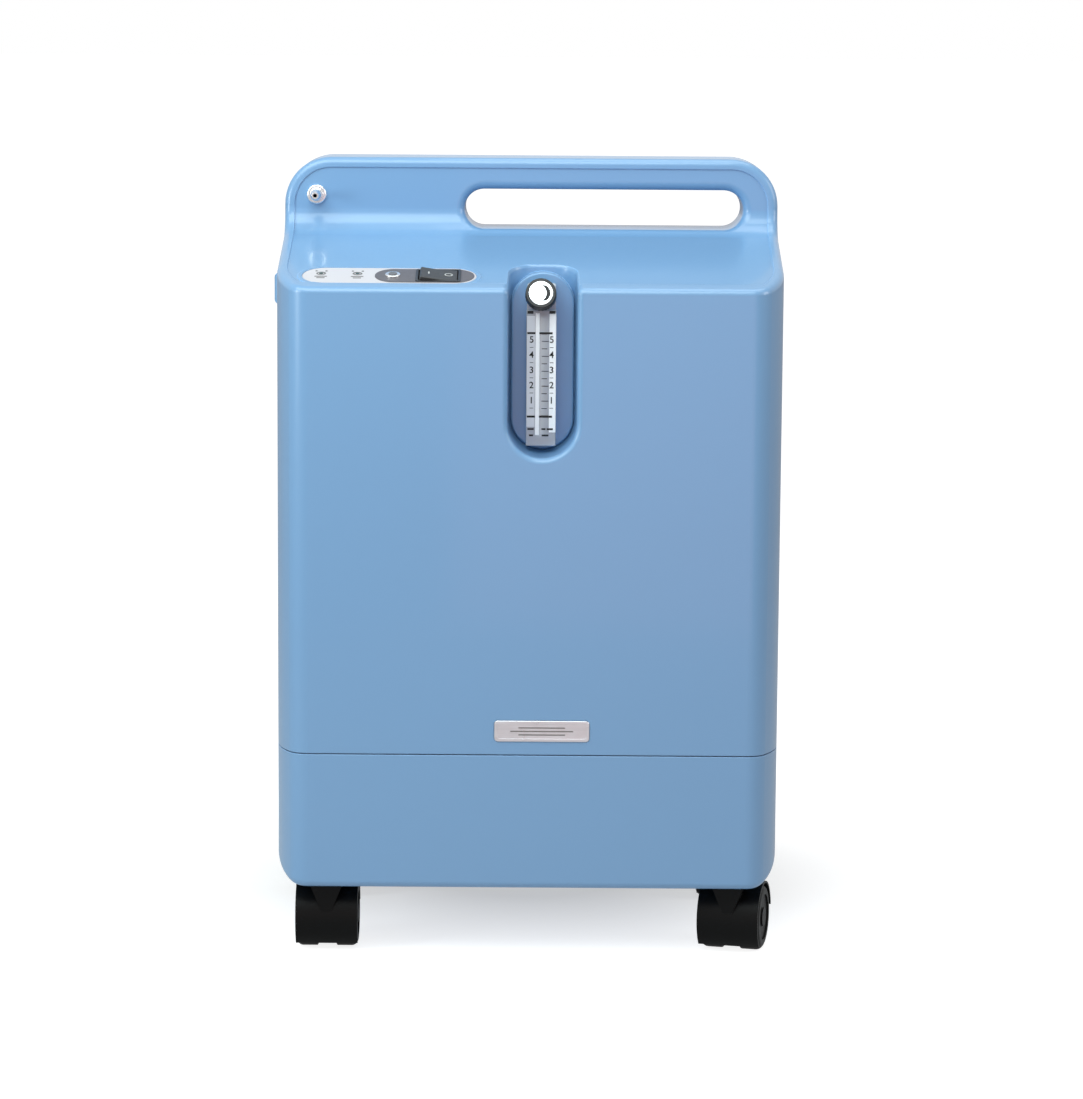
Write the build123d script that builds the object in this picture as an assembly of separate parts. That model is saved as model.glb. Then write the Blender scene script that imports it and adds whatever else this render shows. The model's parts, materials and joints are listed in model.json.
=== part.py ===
from build123d import *
import math
import os

# Oxygen concentrator on four casters, in millimetres.
# X is the width, Y the depth (front faces -Y) and Z is up from the floor.

# Cabinet
WIDTH = 370.0
HEIGHT = 582.0
FRONT_Y = -120.0
REAR_Y = 120.0
BASE_Z = 53.0
SEAM_Z = 153.0
SEAM_GAP = 0.8
WALL = 3.5
EDGE_R = 5.0
CORNER_BOTTOM_R = 22.0
CORNER_TOP_R = 35.0
PARTING_Y = 41.0
PARTING_GAP = 0.3

# Sloping shelf and the handle plate behind it
SHELF_FRONT_Z = 494.0
SHELF_SLOPE = 15.0
PLATE_FRONT_Y = 12.0
PLATE_REAR_Y = 70.0
REAR_SHELF_Z = 505.0
PLATE_BLEND_R = 20.0
RIM = 7.5
RIM_DEPTH = 0.9

# Handle opening
SLOT_X = (-50.0, 159.0)
SLOT_Z = (529.4, 558.6)
SLOT_EDGE_R = 6.5

# Flow-meter pocket and flow meter
POCKET_X = 9.2
POCKET_WIDTH = 50.6
POCKET_BOTTOM_Z = 371.0
POCKET_FLOOR_Y = -66.0
POCKET_DRAFT = 1.5
POCKET_FLOOR_R = 16.0
POCKET_RIM_R = 4.0
PAD_WIDTH = 45.8
PAD_Z = (373.6, 503.0)
PAD_Y = -79.0
METER_X = 8.2
METER_WIDTH = 21.8
METER_Y = (-95.0, PAD_Y)
METER_Z = (377.6, 477.0)
METER_HEAD_Z = 495.8
METER_BORE_R = 2.6
PORTS_Z = (387.0, 465.0)
SCALE_Z = (399.6, 459.6)
SCALE_STEPS = 11
KNOB_Z = 487.2
KNOB_R = 11.4
KNOB_CAP_R = 8.9
KNOB_TILT = 18.0

# Control panel
PANEL_X = (-165.8, -38.8)
PANEL_WIDTH = 35.0
PANEL_FRONT_Y = -109.5
PANEL_RECESS = 1.0
LIP = 3.4
LIP_HEIGHT = 0.5
LAMPS_X = (-152.0, -125.6)
LAMP_ACROSS = 4.5
BREAKER_X = -99.8
DARK_LEFT_X = -112.8
DARK_WIDTH = 28.5

# Rocker switch on the panel
SWITCH_X = -66.8
SWITCH_FLANGE = (32.8, 25.8)
SWITCH_BODY = (30.8, 23.8)
SWITCH_CAVITY = (29.0, 21.9)
ROCKER_WIDTH = 21.5
ROCKER_R = 14.3
ROCKER_TILT = 6.0
PIVOT_UP = -3.0
PIVOT_R = 1.2

# Oxygen outlet
OUTLET_X = -161.0
OUTLET_Z = 554.0
NOZZLE_LENGTH = 24.0
NOZZLE_BORE_R = 1.5

# Badge
BADGE_X = 10.5
BADGE_Z = 170.8
BADGE_SIZE = (70.0, 16.0)

# Casters
WHEEL_R = 24.5
WHEEL_WIDTH = 16.0
WEB_WIDTH = 13.0
AXLE_R = 3.0
STEM_R = 4.0
TRAIL = 14.0
FIT = 0.05
FENDER_GAP = 0.8
FENDER_WALL = 1.6
FENDER_LOW_Z = -19.0
TONGUE_DEPTH = -9.6
CASTERS = {
    "fl": (-148.0, -92.0, 180.0),
    "fr": (151.5, -92.0, 166.0),
    "rl": (-156.0, 78.0, 180.0),
    "rr": (156.0, 78.0, 180.0),
}

# Rear panel
DOOR_X = (-150.0, -38.0)
DOOR_Z = (330.0, 452.0)
INLET_X = 100.0
INLET_Z = 196.0
HOURS_Z = 240.0
HINGE_Y = REAR_Y - 1.6
HINGE_Z = DOOR_Z[1] - 2.0
COVER_SCREWS = [(x, z) for x in (-150.0, 150.0) for z in (200.0, 470.0)]

# Chassis, compressor and gas circuit
CHASSIS_Z = 70.0
CHASSIS_THICK = 1.5
MOTOR_Y = -15.0
MOTOR_Z = 148.0
FOOT_Z = 100.0
CYLINDER_X = 58.5
BED_Z = (78.0, 392.0)
BEDS_X = (-118.0, -38.0)
BEDS_Y = 74.5
COIL_Z = 250.0
COIL_STEP = 12.0
COIL_HALF = 80.0
COIL_R = 3.5

os.makedirs("parts", exist_ok=True)


def save(name, *shapes):
    solids = [s for shape in shapes for s in shape.solids()]
    shape = solids[0] if len(solids) == 1 else Compound(children=solids)
    export_step(shape, f"parts/{name}.step")


def box(x, y, z):
    size = (x[1] - x[0], y[1] - y[0], z[1] - z[0])
    centre = ((x[0] + x[1]) / 2, (y[0] + y[1]) / 2, (z[0] + z[1]) / 2)
    return Pos(*centre) * Box(*size)


def rod(start, end, radius):
    a, b = Vector(*start), Vector(*end)
    plane = Plane(origin=a, z_dir=b - a)
    return extrude(plane * Circle(radius), (b - a).length)


def tube(start, end, outer, inner):
    return rod(start, end, outer) - rod(start, end, inner)


def edges_at(shape, test):
    return [e for e in shape.edges() if test(e @ 0.5)]


def rounded_face(plane, corners):
    """Closed face through (u, v, radius) corners."""
    count = len(corners)
    ends = []
    for i, (u, v, r) in enumerate(corners):
        p = Vector(u, v)
        back = (Vector(*corners[i - 1][:2]) - p).normalized()
        ahead = (Vector(*corners[(i + 1) % count][:2]) - p).normalized()
        if r <= 0:
            ends.append((p, None, p))
            continue
        half = math.radians(back.get_angle(ahead) / 2)
        tangent = r / math.tan(half)
        centre = p + (back + ahead).normalized() * (r / math.sin(half))
        middle = centre + (p - centre).normalized() * r
        ends.append((p + back * tangent, middle, p + ahead * tangent))
    lines = []
    for i, (start, middle, end) in enumerate(ends):
        if middle is not None:
            lines.append(ThreePointArc(start, middle, end))
        following = ends[(i + 1) % count][0]
        if (following - end).length > 1e-6:
            lines.append(Line(end, following))
    return plane * make_face(lines)


def plan_outline():
    """Cabinet seen from above: flat front, soft two-radius corners."""
    half = WIDTH / 2
    small, large, rear = 16.0, 80.0, 22.0
    turn = math.sin(math.radians(60))
    corner = small * turn + large * (1 - turn)
    front = Line((0, FRONT_Y), (half - corner, FRONT_Y))
    first = JernArc((half - corner, FRONT_Y), (1, 0), small, 60)
    second = JernArc(first @ 1, first % 1, large, 30)
    side = Line(second @ 1, (half, REAR_Y - rear))
    back_corner = JernArc((half, REAR_Y - rear), (0, 1), rear, 90)
    back = Line(back_corner @ 1, (0, REAR_Y))
    right = [front, first, second, side, back_corner, back]
    return make_face(right + [mirror(e, about=Plane.YZ) for e in right])


def shelf_rise(y):
    return (y - FRONT_Y) * math.tan(math.radians(SHELF_SLOPE))


def side_profile():
    """Cabinet seen from the side: shelf, handle plate and rear shelf."""
    rear_rise = shelf_rise(REAR_Y) - shelf_rise(PLATE_REAR_Y)
    return rounded_face(Plane.YZ, [
        (FRONT_Y, BASE_Z, 0),
        (FRONT_Y, SHELF_FRONT_Z, 5),
        (PLATE_FRONT_Y, SHELF_FRONT_Z + shelf_rise(PLATE_FRONT_Y), PLATE_BLEND_R),
        (PLATE_FRONT_Y, HEIGHT, 0),
        (PLATE_REAR_Y, HEIGHT, 0),
        (PLATE_REAR_Y, REAR_SHELF_Z + rear_rise, PLATE_BLEND_R),
        (REAR_Y, REAR_SHELF_Z, 5),
        (REAR_Y, BASE_Z, 0),
    ])


def front_outline():
    half = WIDTH / 2
    return rounded_face(Plane.XZ, [
        (-half, BASE_Z, CORNER_BOTTOM_R),
        (half, BASE_Z, CORNER_BOTTOM_R),
        (half, HEIGHT, CORNER_TOP_R),
        (-half, HEIGHT, CORNER_TOP_R),
    ])


def cabinet_block(inset=0.0):
    """Solid cabinet, each outline moved inwards by inset."""
    outlines = [plan_outline(), side_profile(), front_outline()]
    if inset:
        outlines = [offset(o, -inset) for o in outlines]
    plan, side, front = outlines
    solid = extrude(plan, 700) & extrude(side, 400, both=True)
    return solid & extrude(front, 400, both=True)


def sharp_edges(shape, angle=8):
    """Edges whose two faces meet at more than the angle."""
    shared = {}
    for face in shape.faces():
        for edge in face.edges():
            middle = tuple(round(c, 3) for c in edge @ 0.5)
            shared.setdefault(middle, [edge]).append(face)
    found = []
    for edge, *faces in shared.values():
        if len(faces) != 2:
            continue
        point = edge @ 0.5
        if faces[0].normal_at(point).get_angle(faces[1].normal_at(point)) > angle:
            found.append(edge)
    return found


def pill(plane, length, width, depth):
    return extrude(plane * SlotOverall(length, width), depth)


# Planes lying on the sloping shelf and on the badge
panel_y = PANEL_FRONT_Y + PANEL_WIDTH / 2 * math.cos(math.radians(SHELF_SLOPE))
panel_x = sum(PANEL_X) / 2
panel_length = PANEL_X[1] - PANEL_X[0]
panel_plane = Plane(
    origin=(panel_x, panel_y, SHELF_FRONT_Z + shelf_rise(panel_y) - RIM_DEPTH),
    x_dir=(1, 0, 0),
    z_dir=(0, -math.sin(math.radians(SHELF_SLOPE)), math.cos(math.radians(SHELF_SLOPE))),
)


def panel_frame(x, across=0.0, up=0.0):
    origin = panel_plane.from_local_coords(Vector(x - panel_x, across, up))
    return Plane(origin=origin, x_dir=(1, 0, 0), z_dir=panel_plane.z_dir)


def slot_shape(grow=0.0):
    centre_x = sum(SLOT_X) / 2
    centre_z = sum(SLOT_Z) / 2
    plane = Plane(origin=(centre_x, -60, centre_z), x_dir=(1, 0, 0), z_dir=(0, 1, 0))
    length = SLOT_X[1] - SLOT_X[0] + 2 * grow
    return pill(plane, length, SLOT_Z[1] - SLOT_Z[0] + 2 * grow, 200)


def pocket_shape(grow=0.0):
    """Drafted pocket, rounded at the bottom and open through the shelf."""
    half = POCKET_WIDTH / 2 + grow
    centre_z = POCKET_BOTTOM_Z + POCKET_WIDTH / 2
    plane = Plane(origin=(POCKET_X, FRONT_Y - 1, 0), x_dir=(1, 0, 0), z_dir=(0, -1, 0))
    bottom = ThreePointArc((-half, centre_z), (0, centre_z - half), (half, centre_z))
    outline = plane * make_face([
        bottom,
        Line((half, centre_z), (half, 700)),
        Line((half, 700), (-half, 700)),
        Line((-half, 700), (-half, centre_z)),
    ])
    floor_y = POCKET_FLOOR_Y + grow
    shape = extrude(outline, FRONT_Y - 1 - floor_y, taper=POCKET_DRAFT)
    floor_edges = edges_at(shape, lambda p: abs(p.Y - floor_y) < 0.1 and p.Z < 650)
    return fillet(floor_edges, POCKET_FLOOR_R + grow)


def pad_shape(inset=0.0, edge_r=1.2):
    """Raised pad with round ends at the back of the pocket, for the flow meter."""
    plane = Plane(
        origin=(POCKET_X, PAD_Y + inset, sum(PAD_Z) / 2), x_dir=(0, 0, 1), z_dir=(0, 1, 0)
    )
    pad = pill(plane, PAD_Z[1] - PAD_Z[0] - 2 * inset, PAD_WIDTH - 2 * inset, 20)
    if edge_r:
        pad = fillet(edges_at(pad, lambda p: p.Y < PAD_Y + inset + 0.1), edge_r)
    return pad


# ---------------------------------------------------------------- cabinet
outer = cabinet_block().solids()[0]
outer = outer.fillet(EDGE_R, sharp_edges(outer))

outer = (outer - pocket_shape()).solids()[0]


def on_pocket_rim(p):
    """True for a point on the pocket's edge with the front face or the shelf."""
    on_front = abs(p.Y - FRONT_Y) < 0.5
    on_shelf = abs(p.Z - SHELF_FRONT_Z - shelf_rise(p.Y)) < 0.5
    in_bend = p.Y < FRONT_Y + EDGE_R and p.Z > SHELF_FRONT_Z - EDGE_R
    inside_x = abs(p.X - POCKET_X) < POCKET_WIDTH / 2 + 1
    return inside_x and p.Z > 365 and p.Y < -50 and (on_front or on_shelf or in_bend)


pocket_edges = [e for e in sharp_edges(outer, 20) if on_pocket_rim(e @ 0.5)]
outer = outer.fillet(POCKET_RIM_R, pocket_edges)
outer = (outer + pad_shape()).solids()[0]

# Shallow field inside the rim of the shelf and the plate
field_side = rounded_face(Plane.YZ, [
    (FRONT_Y + 12, 700, 0),
    (FRONT_Y + 12, SHELF_FRONT_Z + shelf_rise(FRONT_Y + 12) - RIM_DEPTH, 0),
    (PLATE_FRONT_Y + RIM_DEPTH, SHELF_FRONT_Z + shelf_rise(PLATE_FRONT_Y) - RIM_DEPTH,
     PLATE_BLEND_R),
    (PLATE_FRONT_Y + RIM_DEPTH, 700, 0),
])
field_front = offset(front_outline(), -RIM)
field_plan = offset(plan_outline(), -RIM)
field = extrude(field_side, 400, both=True) & extrude(field_front, 400, both=True)
field = field & extrude(field_plan, 900)
outer = (outer - field).solids()[0]

outer = (outer - slot_shape()).solids()[0]


def near_slot(p):
    inside_x = SLOT_X[0] - 1 < p.X < SLOT_X[1] + 1
    return inside_x and SLOT_Z[0] - 1 < p.Z < SLOT_Z[1] + 1


slot_edges = [e for e in sharp_edges(outer, 20) if near_slot(e @ 0.5)]
outer = outer.fillet(SLOT_EDGE_R, slot_edges)

inner = cabinet_block(WALL) - slot_shape(WALL) - pocket_shape(WALL) + pad_shape(WALL, 0)
shell = outer - inner
skin = cabinet_block(1.5)

upper = box((-300, 300), (-300, 300), (SEAM_Z + SEAM_GAP / 2, 700))
lower = box((-300, 300), (-300, 300), (0, SEAM_Z - SEAM_GAP / 2))
ahead = box((-300, 300), (-300, PARTING_Y - PARTING_GAP / 2), (0, 700))
behind = box((-300, 300), (PARTING_Y + PARTING_GAP / 2, 300), (0, 700))

# ---------------------------------------------------------------- front cover
front_cover = shell & upper & ahead

lug = box((-190, -180), (-32, -8), (475, 498))
lug = fillet(lug.edges().group_by(Axis.X)[0], 3.5)
front_cover += lug

for x, z in COVER_SCREWS:
    side = math.copysign(1, x)
    end_y = PARTING_Y - PARTING_GAP / 2
    front_cover += rod((x, 5, z), (x, end_y, z), 6)
    rib_x = sorted((x + 5 * side, 183 * side))
    front_cover += box(rib_x, (5, end_y), (z - 1.5, z + 1.5)) & skin
    front_cover -= rod((x, 9, z), (x, 60, z), 1.7)

lip = pill(
    panel_frame(panel_x, 0, -2), panel_length + 2 * LIP, PANEL_WIDTH + 2 * LIP, 2 + LIP_HEIGHT
)
lip = fillet(lip.faces().sort_by(Axis((0, 0, 0), panel_plane.z_dir))[-1].edges(), 0.45)
front_cover += lip
front_cover -= pill(panel_frame(panel_x, 0, -PANEL_RECESS), panel_length, PANEL_WIDTH, 20)
front_cover -= extrude(panel_frame(panel_x, 0, -20) * Rectangle(panel_length - 17, 27), 40)
front_cover -= rod((OUTLET_X, 0, OUTLET_Z), (OUTLET_X, 30, OUTLET_Z), 5.1)

badge_plane = Plane(origin=(BADGE_X, FRONT_Y + 1.0, BADGE_Z), x_dir=(1, 0, 0), z_dir=(0, -1, 0))
badge_recess = extrude(badge_plane * RectangleRounded(*BADGE_SIZE, 3), 10)
front_cover -= badge_recess

for z in PORTS_Z:
    front_cover -= rod((METER_X, -90, z), (METER_X, -60, z), 4.1)
save("front_cover", front_cover.solids().sort_by(SortBy.VOLUME)[-1])

# ---------------------------------------------------------------- rear cover
rear_cover = shell & upper & behind
for x, z in COVER_SCREWS:
    rear_cover += rod((x, PARTING_Y + PARTING_GAP / 2, z), (x, REAR_Y - 1, z), 6)
    rear_cover -= rod((x, 0, z), (x, 130, z), 2.3)
    rear_cover -= rod((x, REAR_Y - 3, z), (x, 130, z), 4.5)

rear_cover -= box(
    (DOOR_X[0] - 0.5, DOOR_X[1] + 0.5), (100, 130), (DOOR_Z[0] - 0.5, DOOR_Z[1] + 0.9)
)
for x in DOOR_X:
    side = -1 if x == DOOR_X[0] else 1
    rear_cover -= rod((x, HINGE_Y, HINGE_Z), (x + 4.2 * side, HINGE_Y, HINGE_Z), 1.05)

filter_x = (DOOR_X[0] - 4, DOOR_X[1] + 4)
filter_z = (DOOR_Z[0] - 4, DOOR_Z[1] + 4)
tray = box(
    (filter_x[0] - 3, filter_x[1] + 3), (100, REAR_Y - WALL), (filter_z[0] - 3, filter_z[1] + 3)
)
tray -= box(filter_x, (102, 130), filter_z)
for i in range(5):
    x = filter_x[0] + 12 + 24 * i
    tray -= box((x - 8, x + 8), (90, 104), (filter_z[0] + 6, filter_z[1] - 6))
rear_cover += tray

inlet_hole = box((INLET_X - 14.5, INLET_X + 14.5), (100, 130), (INLET_Z - 11, INLET_Z + 11))
hours_hole = box(
    (INLET_X - 18.5, INLET_X + 18.5), (100, 130), (HOURS_Z - 12.5, HOURS_Z + 12.5)
)
rear_cover -= inlet_hole
rear_cover -= hours_hole
save("rear_cover", rear_cover.solids().sort_by(SortBy.VOLUME)[-1])

# ---------------------------------------------------------------- base tub
base = shell & lower
ring = cabinet_block(WALL + 0.3) - cabinet_block(WALL + 2.5)
base += ring & box((-300, 300), (-300, 300), (140, SEAM_Z + 7))
seam_rib = cabinet_block(1.5) - cabinet_block(WALL + 1.5)
base += seam_rib & box((-300, 300), (-300, 300), (143, 147))
floor_z = BASE_Z + WALL
for x, y, _ in CASTERS.values():
    base += rod((x, y, BASE_Z + 1), (x, y, 78), 9)
    base -= rod((x, y, 0), (x, y, 74), STEM_R)
for x in (-150.0, 150.0):
    for y in (-40.0, 40.0):
        base += rod((x, y, floor_z - 1), (x, y, 70), 6)
        base -= rod((x, y, 60), (x, y, 90), 1.7)
for i in range(9):
    x = -64 + 16 * i
    base -= box((x - 5, x + 5), (100, 130), (84, 124))
save("base_tub", base.solids().sort_by(SortBy.VOLUME)[-1])

# ---------------------------------------------------------------- badge
badge = extrude(badge_plane * RectangleRounded(BADGE_SIZE[0] - 0.4, BADGE_SIZE[1] - 0.4, 2.8), 1.8)
badge = chamfer(edges_at(badge, lambda p: p.Y < FRONT_Y - 0.7), 0.4)
groove = extrude(badge_plane * RectangleRounded(BADGE_SIZE[0] - 5, BADGE_SIZE[1] - 5, 2), 3)
badge -= groove & box((-300, 300), (-300, FRONT_Y - 0.5), (0, 700))
save("badge", badge)

# ---------------------------------------------------------------- control panel
bezel = pill(panel_frame(panel_x, 0, -PANEL_RECESS), panel_length - 0.4, PANEL_WIDTH - 0.4, 1.3)
bezel = chamfer(bezel.faces().sort_by(Axis((0, 0, 0), panel_plane.z_dir))[-1].edges(), 0.3)
switch_hole = Rectangle(SWITCH_BODY[0] + 0.4, SWITCH_BODY[1] + 0.4)
bezel -= extrude(panel_frame(SWITCH_X, 0, -5) * switch_hole, 10)
bezel -= rod(
    tuple(panel_frame(BREAKER_X, 0, -5).origin), tuple(panel_frame(BREAKER_X, 0, 5).origin), 5.0
)
for x in LAMPS_X:
    bezel -= extrude(panel_frame(x, LAMP_ACROSS, -5) * Circle(1.6), 10)
save("control_bezel", bezel)

dark_length = PANEL_X[1] - 1.8 - DARK_LEFT_X
dark_plane = panel_frame(DARK_LEFT_X + dark_length / 2, 0, 0.3)
overlay = extrude(dark_plane * SlotOverall(dark_length, DARK_WIDTH), 0.4)
overlay -= extrude(panel_frame(SWITCH_X, 0, -5) * switch_hole, 10)
overlay -= extrude(panel_frame(BREAKER_X, 0, -5) * Circle(5.0), 10)
save("control_overlay", overlay)

lenses = [extrude(panel_frame(x, LAMP_ACROSS, -3.6) * Circle(1.5), 4.2) for x in LAMPS_X]
save("indicator_lenses", *lenses)

board = extrude(panel_frame(sum(LAMPS_X) / 2, 0, -8.6) * Rectangle(46, 22), 1.6)
leds = [extrude(panel_frame(x, LAMP_ACROSS, -7.0) * Circle(1.4), 3.2) for x in LAMPS_X]
buzzer = extrude(panel_frame(sum(LAMPS_X) / 2, -3, -7.0) * Circle(4.5), 3.0)
save("indicator_board", board + leds[0] + leds[1] + buzzer)

# Rocker switch
housing = extrude(panel_frame(SWITCH_X, 0, -24) * Rectangle(*SWITCH_BODY), 24.7)
housing += extrude(panel_frame(SWITCH_X, 0, 0.7) * RectangleRounded(*SWITCH_FLANGE, 1.5), 0.6)
housing -= extrude(panel_frame(SWITCH_X, 0, -14) * Rectangle(*SWITCH_CAVITY), 20)
for x in (-7.0, 0.0, 7.0):
    housing += extrude(panel_frame(SWITCH_X + x, 0, -32) * Rectangle(0.8, 6.3), 9)


def switch_pin(reach, radius):
    """Pin across the switch on the rocker's pivot line."""
    ends = [tuple(panel_frame(SWITCH_X, across, PIVOT_UP).origin) for across in (-reach, reach)]
    return rod(ends[0], ends[1], radius)


housing -= switch_pin(12.5, PIVOT_R + FIT)
save("switch_housing", housing)

pivot = panel_frame(SWITCH_X, ROCKER_WIDTH / 2, PIVOT_UP)
rocker_plane = Plane(origin=pivot.origin, x_dir=(1, 0, 0), z_dir=-pivot.y_dir)
rocker_outline = Polyline(
    (-20, 5.81), (0, 4.9), (20, 5.81), (20, -2), (4, -7), (-4, -7), (-20, -2), (-20, 5.81)
)
rocker_face = Rot(0, 0, -ROCKER_TILT) * (make_face(rocker_outline) & Circle(ROCKER_R))
rocker = extrude(rocker_plane * rocker_face, ROCKER_WIDTH)
rocker_top = edges_at(rocker, lambda p: (p - pivot.origin).dot(pivot.z_dir) > 2)
rocker = fillet(rocker_top, 0.6)
save("switch_rocker", rocker + switch_pin(11.7, PIVOT_R))

# Circuit breaker
breaker = extrude(panel_frame(BREAKER_X, 0, -26) * Rectangle(13, 15), 22)
breaker += extrude(panel_frame(BREAKER_X, 0, -4) * Circle(4.8), 4.7)
collar = extrude(panel_frame(BREAKER_X, 0, 0.7) * Circle(5.6), 1.3)
breaker += fillet(collar.faces().sort_by(Axis((0, 0, 0), panel_plane.z_dir))[-1].edges(), 0.6)
breaker -= extrude(panel_frame(BREAKER_X, 0, -8) * Circle(3.15), 20)
for y in (-4.0, 4.0):
    breaker += extrude(panel_frame(BREAKER_X, y, -33) * Rectangle(6.3, 0.8), 8)
save("breaker", breaker)
button = extrude(panel_frame(BREAKER_X, 0, -5) * Circle(3.1), 7.6)
button = fillet(button.edges().sort_by(Axis((0, 0, 0), panel_plane.z_dir))[-1:], 0.5)
save("reset_button", button)

# ---------------------------------------------------------------- flow meter
meter = box((METER_X - METER_WIDTH / 2, METER_X + METER_WIDTH / 2), METER_Y, METER_Z)
meter = fillet(edges_at(meter, lambda p: p.Y < METER_Y[0] + 0.1), 0.8)
head = box(
    (METER_X - METER_WIDTH / 2 + 0.4, METER_X + METER_WIDTH / 2 - 0.4),
    (METER_Y[0] + 5, METER_Y[1]), (METER_Z[1] - 1, METER_HEAD_Z)
)
head = fillet(edges_at(head, lambda p: p.Z > METER_HEAD_Z - 0.1), 2.0)
meter += head
bore_y = METER_Y[0] + 6.0
bore_z = (METER_Z[0] + 6, METER_Z[1] - 6)
meter -= rod((METER_X, bore_y, bore_z[0]), (METER_X, bore_y, bore_z[1]), METER_BORE_R)
for z in PORTS_Z:
    meter += rod((METER_X, METER_Y[1] - 1, z), (METER_X, METER_Y[1] + 16, z), 3.9)
    meter -= rod((METER_X, bore_y, z), (METER_X, METER_Y[1] + 20, z), 1.5)
tilt = math.radians(KNOB_TILT)
knob_axis = Vector(0, -math.cos(tilt), math.sin(tilt))
knob_back = Vector(METER_X - 0.5, METER_Y[0] + 3.6, KNOB_Z - 1.0)


def along_knob(distance):
    return tuple(knob_back + knob_axis * distance)


meter -= rod(along_knob(-12), along_knob(12), 2.05)
save("flowmeter_body", meter)

# Printed scale: a long mark at each litre, a short one between, heavy end lines
marks = []
mark_x = METER_X + 0.4
for i in range(SCALE_STEPS + 1):
    z = SCALE_Z[0] + (SCALE_Z[1] - SCALE_Z[0]) * i / SCALE_STEPS
    length = 5.1 if i % 2 == 0 else 3.9
    half = 0.45 if i in (0, SCALE_STEPS) else 0.25
    mark_y = (METER_Y[0] - 0.15, METER_Y[0])
    marks.append(box((mark_x, mark_x + length), mark_y, (z - half, z + half)))
save("flow_scale", *marks)

ball_z = bore_z[0] + METER_BORE_R
save("float_ball", Pos(METER_X, bore_y, ball_z) * Sphere(METER_BORE_R - 0.1))

knob_plane = Plane(origin=along_knob(3.2), x_dir=(1, 0, 0), z_dir=knob_axis)
knob = extrude(knob_plane * Circle(KNOB_R), 8.4, taper=2)
knob = fillet(knob.edges().sort_by(Axis.Y)[0:1], 0.7)
for i in range(28):
    angle = 2 * math.pi * i / 28
    spot = knob_plane * Pos((KNOB_R + 0.35) * math.cos(angle), (KNOB_R + 0.35) * math.sin(angle), 0)
    knob -= spot * Pos(0, 0, 3) * Cylinder(0.7, 8)
knob -= extrude(knob_plane * Pos(0, 0, 7.6) * Circle(KNOB_CAP_R + 0.1), 5)
knob -= rod(along_knob(0), along_knob(8), 1.9)
save("flow_knob", knob)

cap = extrude(knob_plane * Pos(0, 0, 7.6) * Circle(KNOB_CAP_R), 1.2)
cap = fillet(cap.edges().sort_by(Axis.Y)[0:1], 0.5)
save("knob_cap", cap)

needle = rod(along_knob(-7), along_knob(8), 1.9)
needle += Plane(origin=along_knob(-7), z_dir=-knob_axis) * Pos(0, 0, 1.5) * Cone(1.9, 0.4, 3)
save("needle_valve", needle)

# ---------------------------------------------------------------- oxygen outlet
face_y = PLATE_FRONT_Y + RIM_DEPTH
nozzle_plane = Plane(origin=(OUTLET_X, face_y, OUTLET_Z), x_dir=(1, 0, 0), z_dir=(0, -1, 0))


def turned(start, length, radius, tip_radius=None):
    """Round length of the nozzle, measured outwards from the plate."""
    if tip_radius is None:
        return nozzle_plane * Pos(0, 0, start + length / 2) * Cylinder(radius, length)
    return nozzle_plane * Pos(0, 0, start + length / 2) * Cone(radius, tip_radius, length)


nozzle = turned(0, 2.6, 7.3)
nozzle = fillet(edges_at(nozzle, lambda p: p.Y < face_y - 2), 1.2)
nozzle += turned(-14, 16.4, 5.0)
nozzle += turned(2.0, 3.6, 5.2, 4.2)
nozzle += turned(5.0, NOZZLE_LENGTH - 5, 2.6)
for i in range(4):
    nozzle += turned(7.4 + 4.2 * i, 3.8, 3.8, 2.6)
nozzle -= turned(-30, 60 + NOZZLE_LENGTH, NOZZLE_BORE_R)
save("outlet_nozzle", nozzle)

nut_y = face_y + WALL - RIM_DEPTH + 0.1
nut_plane = Plane(origin=(OUTLET_X, nut_y, OUTLET_Z), x_dir=(1, 0, 0), z_dir=(0, 1, 0))
nut = extrude(nut_plane * RegularPolygon(9, 6), 5) - rod(
    (OUTLET_X, 0, OUTLET_Z), (OUTLET_X, 40, OUTLET_Z), 5.0
)
save("outlet_nut", nut)

# ---------------------------------------------------------------- casters
stems = []


def wheel(side):
    """Twin wheel half about the X axis; side is -1 or 1."""
    inner_x = side * (WEB_WIDTH / 2 + 0.4)
    outer_x = inner_x + side * WHEEL_WIDTH
    body = rod((inner_x, 0, 0), (outer_x, 0, 0), WHEEL_R)
    body = fillet(edges_at(body, lambda p: abs(p.X - outer_x) < 0.1), 5.0)
    body = fillet(edges_at(body, lambda p: abs(p.X - inner_x) < 0.1), 1.0)
    ring_start = (inner_x, 0, 0)
    ring_end = (inner_x + side * 10, 0, 0)
    body -= tube(ring_start, ring_end, 20.5, 8.0)
    dish = tube((outer_x - side * 1.2, 0, 0), (outer_x + side, 0, 0), 17.0, 7.0)
    body -= dish
    body -= rod((inner_x - side, 0, 0), (inner_x + side * 12, 0, 0), AXLE_R + FIT)
    return body


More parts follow.
